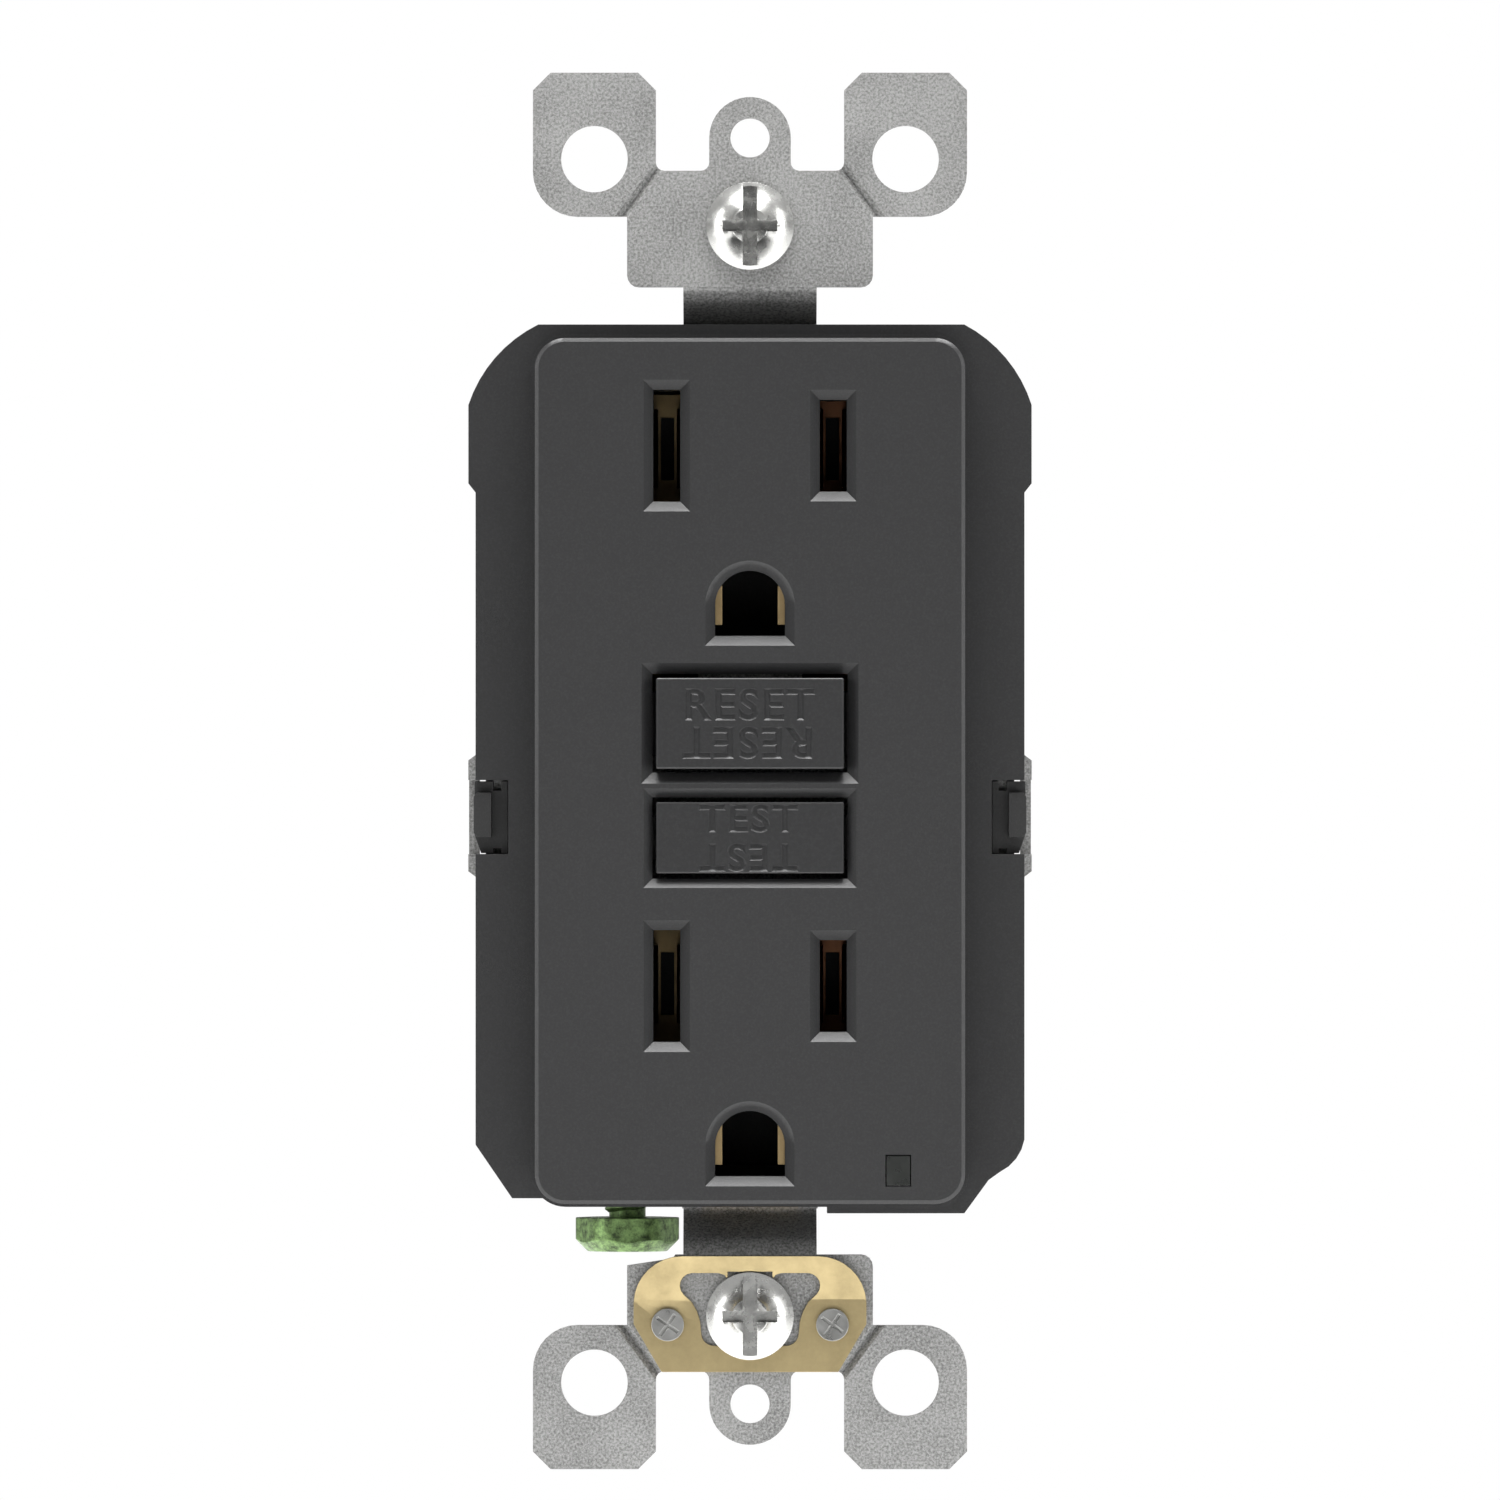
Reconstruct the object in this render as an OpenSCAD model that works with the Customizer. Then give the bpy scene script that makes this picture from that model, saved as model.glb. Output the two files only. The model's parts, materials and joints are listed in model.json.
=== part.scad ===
/* [Face] */
// Width of the raised face
face_w = 32.8; // [32:0.1:33.4]
// Height of the raised face
face_h = 66.0; // [65:0.1:67]
// Corner radius of the raised face
face_r = 2.3; // [1:0.1:4]
// Depth of the face's front surface in front of the strap's rear plane
face_front = 6.8; // [6:0.1:8]
// Wall thickness of the face
face_wall = 2.0; // [1.6:0.1:2.2]

/* [Sockets] */
// Distance between the two blade slots of one socket
blade_pitch = 12.7; // [12.7:0.1:12.7]
// Width of the blade slots
slot_w = 2.06; // [1.8:0.02:2.2]
// Length of the long, neutral slot
neutral_slot_h = 8.53; // [8:0.01:9]
// Length of the short, hot slot
hot_slot_h = 7.0; // [6.6:0.1:7.4]
// Height of the upper socket's slots above the origin
upper_slot_z = 24.8; // [24.8:0.1:24.8]
// Distance between the two sockets
socket_pitch = 41.2; // [41.2:0.1:41.2]
// Width of the ground hole
ground_w = 5.33; // [5:0.01:5.6]
// Height of the ground hole, its arch included
ground_h = 4.98; // [4.9:0.01:5.2]
// Drop from the blade slots to the ground hole's lower edge
ground_drop = 14.5; // [14:0.1:15]

/* [Buttons] */
// Width of both buttons
button_w = 14.33; // [14:0.01:14.5]
// Height of the reset button
reset_h = 6.94; // [6.5:0.01:7]
// Height of the test button
test_h = 5.45; // [5:0.01:5.6]
// Height of the reset button's centre
reset_z = 3.62; // [3.5:0.01:3.7]
// Height of the test button's centre
test_z = -5.1; // [-5.2:0.01:-5]

/* [Strap] */
// Thickness of the strap's steel
strap_t = 1.2; // [1:0.1:1.3]
// Distance between the two wall-plate holes
plate_pitch = 96.84; // [96.84:0.01:96.84]
// Distance between the two device mounting screws
screw_pitch = 83.34; // [83.34:0.01:83.34]
// Overall length of the strap
strap_h = 106.8; // [106:0.1:108]
// Half of the strap's overall width across the ears
ear_x = 16.6; // [16:0.1:17]
// Radius of the ear holes
ear_hole_r = 2.55; // [2.4:0.05:2.7]

/* [Housing] */
// Depth of the rear housing's back surface
rear_y = 25.4; // [25:0.1:27]
// Wall thickness of the rear housing
rear_wall = 1.6; // [1.4:0.1:1.8]

/* [Hidden] */
$fn = 48;
e = 0.01;

black = [0.13, 0.13, 0.135];
dark = [0.09, 0.09, 0.09];
steel = [0.66, 0.66, 0.65];
brass = [0.78, 0.66, 0.40];
nickel = [0.80, 0.80, 0.79];
copper = [0.72, 0.43, 0.28];

// Depths along Y, front to back
face_y = -face_front;
face_in_y = face_y + face_wall;
flange_y0 = -0.4;
flange_y1 = 1.6;
bar_y0 = 3.0;
bar_y1 = bar_y0 + strap_t;
skirt_y = 5.5;
deck_y0 = 4.4;
well_y = 13.6;
board_y0 = 21.6;
board_y1 = 22.8;

slot_x = blade_pitch / 2;
socket_zs = [upper_slot_z, upper_slot_z - socket_pitch];
ground_z0s = [for (z = socket_zs) z - ground_drop];
ground_zs = [for (z = ground_z0s) z + 2.35];
screw_z = screw_pitch / 2;
plate_z = plate_pitch / 2;
ear_hole_x = 11.9;
ear_hole_z = 46.8;

// Terminal bays: sides -1 (neutral, left) and 1 (hot, right)
line_z = -19;
load_z = 17;
terminal_y = 14.8;
wire_dx = 14.8;
wire_dz = 3.2;
wire_hole_r = 1.6;
clip_rivet_x = 6.3;
clip_rivet_z = -42.34;
rivet_dx = 1.2;
rivet_dz = 4.1;
rivet_r = 0.4;
ground_screw_x = -9.43;
ground_screw_y = 8.5;
core_z = -20;
arm_pivot_y = 14.65;
arm_pivot_z = -12;
coil_axis_y = 17.6;
lamp_x = 11.3;
lamp_z = -30.46;
housing_screw_at = [[-17.2, 27.8], [17.2, 27.8], [-16.4, -27.9], [17.2, -28.0]];

// Points of a convex arc of radius r from p to q, its centre on the right of the way there
function arc(p, q, r, n = 8) =
    let (
        d = q - p,
        c = (p + q) / 2 + sqrt(r * r - d * d / 4) * [d[1], -d[0]] / norm(d),
        a0 = atan2(p[1] - c[1], p[0] - c[0]),
        a1 = atan2(q[1] - c[1], q[0] - c[0])
    )
    [for (i = [0 : n]) c + r * [cos(a0 + (a1 - a0) * i / n), sin(a0 + (a1 - a0) * i / n)]];

// The flange's outline seen from the front, drawn in by o on every side
function body_outline(o) = [
    for (p = concat(
        arc([-21.55, 28.0], [-16.2, 34.16], 10.5),
        arc([16.4, 34.16], [21.55, 28.0], 10.5),
        [[21.55, 22.0], [21.0, 21.3]],
        arc([21.0, -28.2], [19.1, -30.7], 3.4, 4),
        [[18.26, -31.3], [16.4, -33.85], [5.9, -33.85], [5.9, -32.7]],
        [[-18.2, -32.7], [-21.0, -28.6], [-21.0, 21.3], [-21.55, 22.0]]
    )) p - o * [sign(p[0]), sign(p[1])]
];

// A solid between two depths, drawn from an outline in x and z
module plate(y0, y1) {
    translate([0, y1, 0])
        rotate([90, 0, 0])
            linear_extrude(y1 - y0)
                children();
}

// A solid between two heights of x, drawn from an outline in y and z
module slab(x0, x1) {
    translate([x0, 0, 0])
        rotate([90, 0, 90])
            linear_extrude(x1 - x0)
                children();
}

// A box between two corners
module box(x0, x1, y0, y1, z0, z1) {
    translate([x0, y0, z0])
        cube([x1 - x0, y1 - y0, z1 - z0]);
}

module rod_y(x, z, r, y0, y1) {
    translate([x, y1, z])
        rotate([90, 0, 0])
            cylinder(h = y1 - y0, r = r);
}

module rod_x(y, z, r, x0, x1) {
    translate([x0, y, z])
        rotate([0, 90, 0])
            cylinder(h = x1 - x0, r = r);
}

module rod_z(x, y, r, z0, z1) {
    translate([x, y, z0])
        cylinder(h = z1 - z0, r = r);
}

// A rectangle centred on the origin with round corners
module round_rect(w, h, r) {
    for (x = [r - w / 2, w / 2 - r], z = [r - h / 2, h / 2 - r])
        translate([x, z])
            circle(r);
    square([w - 2 * r, h], center = true);
    square([w, h - 2 * r], center = true);
}

// A pyramid funnel that opens towards the front from w by h to a bevel wider
module funnel(w, h, bevel) {
    intersection() {
        translate([0, 0, -h / 2 - bevel])
            linear_extrude(h + 2 * bevel)
                polygon([
                    [-w / 2, face_y + bevel], [w / 2, face_y + bevel],
                    [w / 2 + bevel + e, face_y - e], [-w / 2 - bevel - e, face_y - e]
                ]);
        slab(-w / 2 - bevel, w / 2 + bevel)
            polygon([
                [face_y + bevel, -h / 2], [face_y + bevel, h / 2],
                [face_y - e, h / 2 + bevel + e], [face_y - e, -h / 2 - bevel - e]
            ]);
    }
}

// A coil of round wire about the Y axis, with six-sided wire
module coil(r, wire_r, y0, y1, turns, steps = 14) {
    n = steps * turns;
    rise = y1 - y0 - 2 * wire_r;
    points = [
        for (k = [0 : n], j = [0 : 5])
            let (a = 360 * k / steps, out = r + wire_r * cos(60 * j))
            [out * cos(a), y0 + wire_r + rise * k / n + wire_r * sin(60 * j), out * sin(a)]
    ];
    sides = [
        for (k = [0 : n - 1], j = [0 : 5])
            let (a = 6 * k + j, b = 6 * k + (j + 1) % 6)
            [a, b, b + 6, a + 6]
    ];
    ends = [[5, 4, 3, 2, 1, 0], [for (j = [0 : 5]) 6 * n + j]];
    polyhedron(points, concat(sides, ends));
}

// The outline of a ground hole: flat below, arched above, z from its lower edge
module ground_outline() {
    r = ground_w / 2;
    intersection() {
        translate([0, ground_h - r])
            circle(r);
        translate([-r, 0])
            square([ground_w, ground_h]);
    }
    translate([-r, 0])
        square([ground_w, ground_h - r]);
}

// The bevel round a ground hole: a cone about the arch and a tapered lower part
module ground_bevel(bevel) {
    r = ground_w / 2;
    arch_z = ground_h - r;
    intersection() {
        translate([0, face_y + bevel, arch_z])
            rotate([90, 0, 0])
                cylinder(h = bevel + e, r1 = r, r2 = r + bevel);
        translate([-10, face_y - 1, arch_z - e])
            cube([20, 3, 10]);
    }
    intersection() {
        translate([0, 0, -bevel])
            linear_extrude(arch_z + bevel)
                polygon([
                    [-r, face_y + bevel], [r, face_y + bevel],
                    [r + bevel, face_y - e], [-r - bevel, face_y - e]
                ]);
        slab(-r - bevel, r + bevel)
            polygon([
                [face_y + bevel, 0], [face_y + bevel, arch_z],
                [face_y - e, arch_z], [face_y - e, -bevel]
            ]);
    }
}

// The opening of one button, with its bevels at top and bottom
module button_opening(z0, z1, bevel) {
    half = button_w / 2 + 0.28;
    box(-half, half, face_y - e, face_in_y + e, z0, z1);
    intersection() {
        translate([0, 0, z0 - bevel])
            linear_extrude(z1 - z0 + 2 * bevel)
                polygon([
                    [-half, face_y + bevel], [half, face_y + bevel],
                    [half + bevel, face_y - e], [-half - bevel, face_y - e]
                ]);
        slab(-half - bevel, half + bevel)
            polygon([
                [face_y + bevel, z0], [face_y + bevel, z1],
                [face_y - e, z1 + bevel], [face_y - e, z0 - bevel]
            ]);
    }
}

// Everything cut through the face of one socket at height z of its blade slots
module socket_cuts(z) {
    for (s = [-1, 1]) {
        h = s < 0 ? neutral_slot_h : hot_slot_h;
        translate([s * slot_x, 0, z]) {
            box(-slot_w / 2, slot_w / 2, face_y - e, 1.2, -h / 2, h / 2);
            funnel(slot_w, h, 0.75);
        }
    }
    translate([0, 0, z - ground_drop]) {
        plate(face_y - e, face_in_y + e)
            ground_outline();
        ground_bevel(0.76);
    }
}

// Short guides behind the face around each blade slot and ground hole
module socket_guides(z) {
    wall = 0.8;
    for (s = [-1, 1]) {
        h = (s < 0 ? neutral_slot_h : hot_slot_h) / 2 + wall;
        translate([s * slot_x, 0, z])
            box(-slot_w / 2 - wall, slot_w / 2 + wall, face_in_y - e, 0.6, -h, h);
    }
}

module front_cover() {
    inner_x = face_w / 2 - 1.6;
    inner_z = face_h / 2 - 1.6;
    color(black)
        difference() {
            union() {
                plate(face_y, flange_y1)
                    round_rect(face_w, face_h, face_r);
                plate(flange_y0 - 0.5, flange_y0 + e)
                    round_rect(face_w + 0.7, face_h + 0.7, face_r + 0.35);
                plate(flange_y0, skirt_y)
                    polygon(body_outline(0));
            }
            // the hollow behind the face and the wider hollow inside the skirt
            difference() {
                union() {
                    plate(face_in_y, flange_y1 + e)
                        round_rect(2 * inner_x, 2 * inner_z, 1);
                    plate(flange_y1, skirt_y + 1)
                        polygon(body_outline(1.6));
                }
                for (z = socket_zs)
                    socket_guides(z);
                for (s = [-1, 1])
                    box(s * 7.9 - 0.4, s * 7.9 + 0.4, face_in_y - e, -2.7, -8.6, 7.8);
                for (p = housing_screw_at)
                    rod_y(p[0], p[1], 2.5, flange_y1 - e, skirt_y);
            }
            for (z = socket_zs)
                socket_cuts(z);
            button_opening(-0.12, 7.4, 0.85);
            button_opening(-8.22, -2.02, 0.7);
            // the status lamp's window
            box(lamp_x - 0.98, lamp_x + 0.98, face_y - e, face_in_y + e, lamp_z - 1.21, lamp_z + 1.21);
            // side notches for the housing's hooks, and slots for the strap's arms
            for (s = [0, 1])
                mirror([s, 0, 0]) {
                    box(18.5, 23, flange_y0 - 1, skirt_y + 1, -6.37, -0.7);
                    box(19.0, 23, bar_y0 - 0.1, skirt_y + 1, -8.5, 1.6);
                }
            // slots for the strap's necks and its ground tab
            for (s = [-1, 1])
                box(-5.3, 5.3, 1.9, skirt_y + 1, s * 33 - 4, s * 33 + 4);
            box(-13.7, -5.0, bar_y0 - 0.1, skirt_y + 1, -36, -31);
            for (p = housing_screw_at)
                rod_y(p[0], p[1], 1.3, 0.8, skirt_y + 1);
        }
}

// A button: cap in front, retaining ears behind, hollow at the back for its spring
module button(z, h, front, ears_y) {
    half = button_w / 2;
    rod_r = 1.4;
    difference() {
        union() {
            box(-half, half, front, -2.0, z - h / 2, z + h / 2);
            box(-half - 0.9, half + 0.9, ears_y, ears_y + 0.9, z - h / 2 + 1, z + h / 2 - 1);
        }
        // hollow back
        difference() {
            box(-half + 1.2, half - 1.2, front + 1.6, 0, z - h / 2 + 0.7, z + h / 2 - 0.7);
            rod_y(0, z, rod_r, front, 0);
        }
    }
}

module reset_button() {
    color(black)
        difference() {
            button(reset_z, reset_h, face_y - 0.4, -2.6);
            rod_y(0, reset_z, 0.8, -4.0, 0);
        }
}

// Steel stem of the reset button: a rod with a groove that the latch plate grips
module reset_stem() {
    color(steel)
        translate([0, 0, reset_z])
            rotate([-90, 0, 0])
                rotate_extrude()
                    polygon([
                        [0, -4.0], [0.8, -4.0], [0.8, 17.0], [0.45, 17.0], [0.45, 18.1],
                        [0.8, 18.1], [0.8, 18.8], [0.3, 19.6], [0, 19.6]
                    ]);
}

module test_button() {
    color(black) {
        button(test_z, test_h, face_y + 0.1, -2.6);
        rod_y(0, test_z, 1.4, -3.0, 13.4);
    }
}

module reset_spring() {
    color(steel)
        translate([0, 0, reset_z])
            coil(1.9, 0.22, -4.9, 2.95, 7);
}

module test_spring() {
    color(steel)
        translate([0, 0, test_z])
            coil(1.74, 0.18, -4.7, 2.95, 7);
}

// Half of the upper strap end as seen from the front, right-hand side, one end up
module strap_end_outline() {
    difference() {
        union() {
            // ear with chamfered top corners and round lower outer corner
            polygon(concat(
                [[7.2, 45.9], [7.2, 52.05], [8.55, 53.4], [15.25, 53.4], [16.6, 52.05]],
                arc([16.6, 45.8], [13.2, 42.4], 3.4),
                [[9.8, 42.4], [9.4, 42.4]],
                arc([9.4, 37.9], [8.5, 37.0], 0.9, 4),
                [[0, 37.0], [0, 45.9]]
            ));
            // centre tab about the wall-plate hole
            translate([0, plate_z])
                circle(3.12);
            translate([0, 40])
                square([3.12, plate_z - 40]);
            // fillets where the tab and the ear rise from the plate
            polygon([[3, 45.8], [3.77, 45.9], [3.52, 45.95], [3.31, 46.09], [3.17, 46.3], [3.12, 46.55]]);
            polygon([[7.3, 45.8], [6.55, 45.9], [6.8, 45.95], [7.01, 46.09], [7.15, 46.3], [7.2, 46.55]]);
        }
        translate([ear_hole_x, ear_hole_z])
            circle(ear_hole_r);
    }
}

// Points on a bend of radius r about centre c, from angle a0 to a1
function bend(c, r, a0, a1, n = 6) =
    [for (i = [0 : n]) c + r * [cos(a0 + (a1 - a0) * i / n), sin(a0 + (a1 - a0) * i / n)]];

// One end of the strap, pointing up
module strap_end() {
    neck = 5.1;
    slope = 60;
    outer_r = 2.2;
    inner_r = 0.8;
    top = [outer_r - strap_t, 37.5];
    run = bar_y0 + strap_t - (outer_r + inner_r) * (1 - cos(slope));
    foot = [bar_y0 - inner_r, top[1] - (outer_r + inner_r) * sin(slope) - run / tan(slope)];
    difference() {
        union() {
            plate(-strap_t, 0)
                for (s = [0, 1])
                    mirror([s, 0])
                        strap_end_outline();
            // neck that bends back to the middle bar
            slab(-neck, neck)
                polygon(concat(
                    [[-strap_t, top[1] + 0.1]],
                    bend(top, outer_r, 180, 180 + slope),
                    bend(foot, inner_r, slope, 0),
                    [[bar_y0, 32.5], [bar_y1, 32.5]],
                    bend(foot, inner_r + strap_t, 0, slope),
                    bend(top, outer_r - strap_t, 180 + slope, 180),
                    [[0, top[1] + 0.1]]
                ));
        }
        // break-off grooves across the ear necks
        for (s = [0, 1])
            mirror([s, 0, 0])
                translate([8.5, -strap_t, 44.15])
                    rotate([0, 53.4, 0])
                        rotate([45, 0, 0])
                            cube([5.4, 0.62, 0.62], center = true);
        // wall-plate hole and device screw slot
        rod_y(0, plate_z, 1.5, -strap_t - 1, 1);
        plate(-strap_t - 1, 1)
            translate([0, screw_z])
                round_rect(6.2, 4.06, 1.0);
    }
}

// Side arm of the strap, right-hand side: out along X, then back along the housing
module strap_arm() {
    difference() {
        union() {
            plate(bar_y0, bar_y1)
                polygon([
                    [0, -8.3], [20.8, -8.3], [21.6, -7.7], [21.6, 0.8], [20.8, 1.4], [0, 1.4]
                ]);
            box(20.8, 21.6, bar_y0, 10.0, -7.2, 0.3);
        }
        // window for the housing's hook
        box(19.7, 23, bar_y0 - 1, 7.6, -6.4, -0.7);
    }
}

module mounting_strap() {
    color(steel)
        difference() {
            union() {
                strap_end();
                mirror([0, 0, 1])
                    strap_end();
                box(-4.0, 4.0, bar_y0, bar_y1, -33, 33);
                for (z = ground_zs)
                    box(-5.2, 5.2, bar_y0, bar_y1, z - 5.0, z + 5.0);
                for (s = [0, 1])
                    mirror([s, 0, 0])
                        strap_arm();
                // ground tab at the lower left, drilled for the ground screw
                box(-13.4, -3.5, bar_y0, bar_y1, -32.4, -29.0);
                box(-13.4, -5.4, bar_y0, 13.5, -32.4, -31.2);
            }
            for (z = ground_zs) {
                rod_y(0, z, 3.6, 0, 9);
                for (s = [-1, 1])
                    rod_y(rivet_dx * s, z + rivet_dz * s, rivet_r, 0, 9);
            }
            rod_y(0, reset_z, 1.2, 0, 9);
            rod_y(0, test_z, 1.6, 0, 9);
            rod_z(ground_screw_x, ground_screw_y, 1.77, -40, -25);
            for (s = [-1, 1])
                rod_y(s * clip_rivet_x, clip_rivet_z, 0.9, -strap_t - 1, 1);
            // the lower end's left shoulder is sheared lower than the right one
            plate(-strap_t - 1, 1)
                polygon([[-9.6, -36.5], [-5.4, -36.5], [-5.9, -37.3], [-9.6, -37.86]]);
        }
}

// Outline of the self-grounding clip in x and z: arched top, tapered foot
module clip_outline() {
    polygon(concat(
        arc([-8.9, -40.6], [-5.2, -37.07], 3.7),
        arc([5.2, -37.07], [8.9, -40.6], 3.7),
        [[8.9, -42.3], [6.75, -45.96], [-6.75, -45.96], [-8.9, -42.3]]
    ));
}

// One of the two ear-shaped cutouts that free the clip's centre tongue
module clip_window() {
    polygon(concat(
        [[1.7, -38.9], [1.95, -38.52], [2.4, -38.38]],
        arc([4.5, -38.38], [5.1, -40.0], 0.97, 6),
        [[4.45, -40.6], [4.05, -41.3], [3.8, -42.1]],
        arc([3.72, -43.0], [2.7, -43.95], 0.97, 5),
        [[1.7, -43.9]]
    ));
}

module self_grounding_clip() {
    t = 0.45;
    crease_z = -40.4;
    lift = 1.1;
    color(brass)
        difference() {
            // a sheet bent at the crease: the lower part lies on the strap, the top lifts off it
            intersection() {
                slab(-10, 10)
                    polygon([
                        [-strap_t - t, -47], [-strap_t, -47], [-strap_t, crease_z],
                        [-strap_t - lift, -37.0], [-strap_t - lift - t, -37.0],
                        [-strap_t - t, crease_z]
                    ]);
                plate(-strap_t - lift - 1, -strap_t + 1)
                    clip_outline();
            }
            plate(-strap_t - lift - 2, -strap_t + 1)
                for (s = [0, 1])
                    mirror([s, 0])
                        clip_window();
            // the mounting screw passes, and its head lies on the lower part
            rod_y(0, -screw_z, 2.1, -strap_t - 3, 1);
            rod_y(0, -screw_z, 3.45, -strap_t - 3, -strap_t - t);
            box(-1.7 - e, 1.7 + e, -strap_t - 3, 1, -screw_z, -screw_z + 3.4);
            for (s = [-1, 1])
                rod_y(s * clip_rivet_x, clip_rivet_z, 0.9, -strap_t - 1, 0);
        }
}

module clip_rivets() {
    color(steel)
        for (s = [-1, 1])
            difference() {
                union() {
                    rod_y(s * clip_rivet_x, clip_rivet_z, 1.25, -strap_t - 1.0, -strap_t - 0.45);
                    rod_y(s * clip_rivet_x, clip_rivet_z, 0.9, -strap_t - 0.5, 0);
                    rod_y(s * clip_rivet_x, clip_rivet_z, 1.3, 0, 0.4);
                }
                for (a = [35, 125])
                    translate([s * clip_rivet_x, -strap_t - 1.0, clip_rivet_z])
                        rotate([0, a, 0])
                            cube([1.9, 0.3, 0.22], center = true);
            }
}

// Ground contact: a base frame riveted to the strap and two fingers that reach forward
module ground_contact(z) {
    finger_x = 2.12;
    t = 0.56;
    base_y = bar_y0 - 0.6;
    window = 2.8;
    color(brass)
        difference() {
            union() {
                difference() {
                    box(-3.7, 3.7, base_y, bar_y0, z - 4.9, z + 4.9);
                    box(-window, window, 0, 9, z - window, z + window);
                }
                for (s = [-1, 1])
                    translate([s * (finger_x + t / 2), 0, z]) {
                        box(-t / 2, t / 2, face_in_y + 0.2, bar_y0, -1.5, 1.5);
                        box(-0.7, 0.7, base_y, bar_y0, -1.5, 1.5);
                    }
            }
            box(-finger_x, finger_x, 0, 9, z - 1.6, z + 1.6);
            for (s = [-1, 1])
                rod_y(rivet_dx * s, z + rivet_dz * s, rivet_r, 0, 9);
        }
}

module ground_contact_rivets() {
    color(nickel)
        for (z = ground_zs, s = [-1, 1]) {
            rod_y(rivet_dx * s, z + rivet_dz * s, rivet_r, bar_y0 - 0.9, bar_y1 + 0.2);
            rod_y(rivet_dx * s, z + rivet_dz * s, rivet_r + 0.15, bar_y0 - 0.95, bar_y0 - 0.6);
        }
}

// Receptacle contact strip for side s: a bar with finger pairs behind both slots
module receptacle_contact(s) {
    bar_y = 11.5;
    tip_y = 6.2;
    t = 0.5;
    color(s < 0 ? brass : copper)
        difference() {
            union() {
                box(s * slot_x - 1.25, s * slot_x + 1.25, bar_y, bar_y + 0.8, -21, 29);
                for (z = socket_zs, k = [-1, 1]) {
                    x = s * slot_x + k * 1.0;
                    box(x - t / 2, x + t / 2, tip_y, bar_y + e, z - 3.0, z + 3.0);
                    // the tips flare to take the blade
                    translate([x, tip_y, z - 3.0])
                        linear_extrude(6.0)
                            polygon([
                                [-t / 2, 0], [t / 2, 0], [t / 2 + k * 0.3, -0.5], [-t / 2 + k * 0.3, -0.5]
                            ]);
                }
                // load lead to the load terminal, and the fixed contact's seat
                box(s * 8.2 - 0.7, s * 8.2 + 0.7, 9.9, bar_y + 0.8, load_z - 1.3, load_z + 1.3);
                box(s * 11.75 - 4.25, s * 11.75 + 4.25, 9.9, 10.7, load_z - 1.3, load_z + 1.3);
                box(s * slot_x - 1.6, s * slot_x + 1.6, bar_y, bar_y + 0.8, 0.6, 3.4);
            }
            // a wide window in the strip behind each socket saves brass
            for (z = socket_zs)
                box(s * slot_x - 0.5, s * slot_x + 0.5, bar_y - 1, bar_y + 2, z - 2.4, z + 2.4);
        }
}

module fixed_contact_points() {
    color(nickel)
        for (s = [-1, 1])
            rod_y(s * slot_x, 2.0, 1.3, 12.3, 13.35);
}

module middle_frame() {
    channel_x0 = 4.7;
    channel_x1 = 8.3;
    color(dark)
        difference() {
            union() {
                plate(bar_y1 + 0.2, skirt_y)
                    difference() {
                        polygon(body_outline(1.9));
                        for (p = housing_screw_at)
                            translate(p)
                                circle(2.8);
                    }
                box(-9.6, 9.6, skirt_y - e, well_y, -30.2, 31);
            }
            // slots for the contact strips and their leads
            for (s = [-1, 1]) {
                x = s * (channel_x0 + channel_x1) / 2;
                box(x - 1.8, x + 1.8, 0, 12.35, -22, 30);
                box(s * 9 - 3, s * 9 + 3, 9.6, 12.35, load_z - 1.6, load_z + 1.6);
                box(x - 1.9, x + 1.9, 12, 20, -0.1, 4.1);
            }
            // wells behind the ground holes
            for (z = ground_zs)
                box(-2.8, 2.8, 0, 13.0, z - 2.8, z + 2.8);
            // the strap's rivets, the reset stem and the test button's leg
            for (z = ground_zs, s = [-1, 1])
                rod_y(rivet_dx * s, z + rivet_dz * s, 0.8, 4, 5);
            rod_y(0, reset_z, 1.3, 0, 20);
            rod_y(0, test_z, 1.8, 0, 20);
            // side cuts for the strap's arms, the terminal screws and the ground tab
            for (s = [-1, 1])
                box(s * 22 - 2.6, s * 22 + 2.6, 0, 20, -8.6, 1.7);
            box(-19.5, -5.0, 0, 20, -36, -28.8);
            // light pipe of the status lamp
            box(9.9, 12.7, 0, 20, -32.2, -28.9);
        }
}

// Hook of the rear housing, right-hand side: it passes through the window in the strap's arm
module housing_hook() {
    z0 = -6.3;
    z1 = -0.8;
    plate(1.4, 7.0)
        polygon([[19.8, z1], [21.1, z1], [21.1, -4.9], [20.6, z0], [19.8, z0]]);
    plate(0.2, 1.5)
        polygon([
            [19.8, -1.65], [20.85, -1.65], [21.15, -1.95], [21.15, -4.75], [20.85, -5.06], [19.8, -5.06]
        ]);
    // foot that lies over the arm, notched so that the steel shows at its corners
    difference() {
        box(18.55, 19.9, 1.4, 2.9, z0, z1);
        box(19.05, 19.65, 1, 3, -1.5, 0);
        box(19.05, 19.65, 1, 3, -7, -5.95);
    }
}

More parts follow.
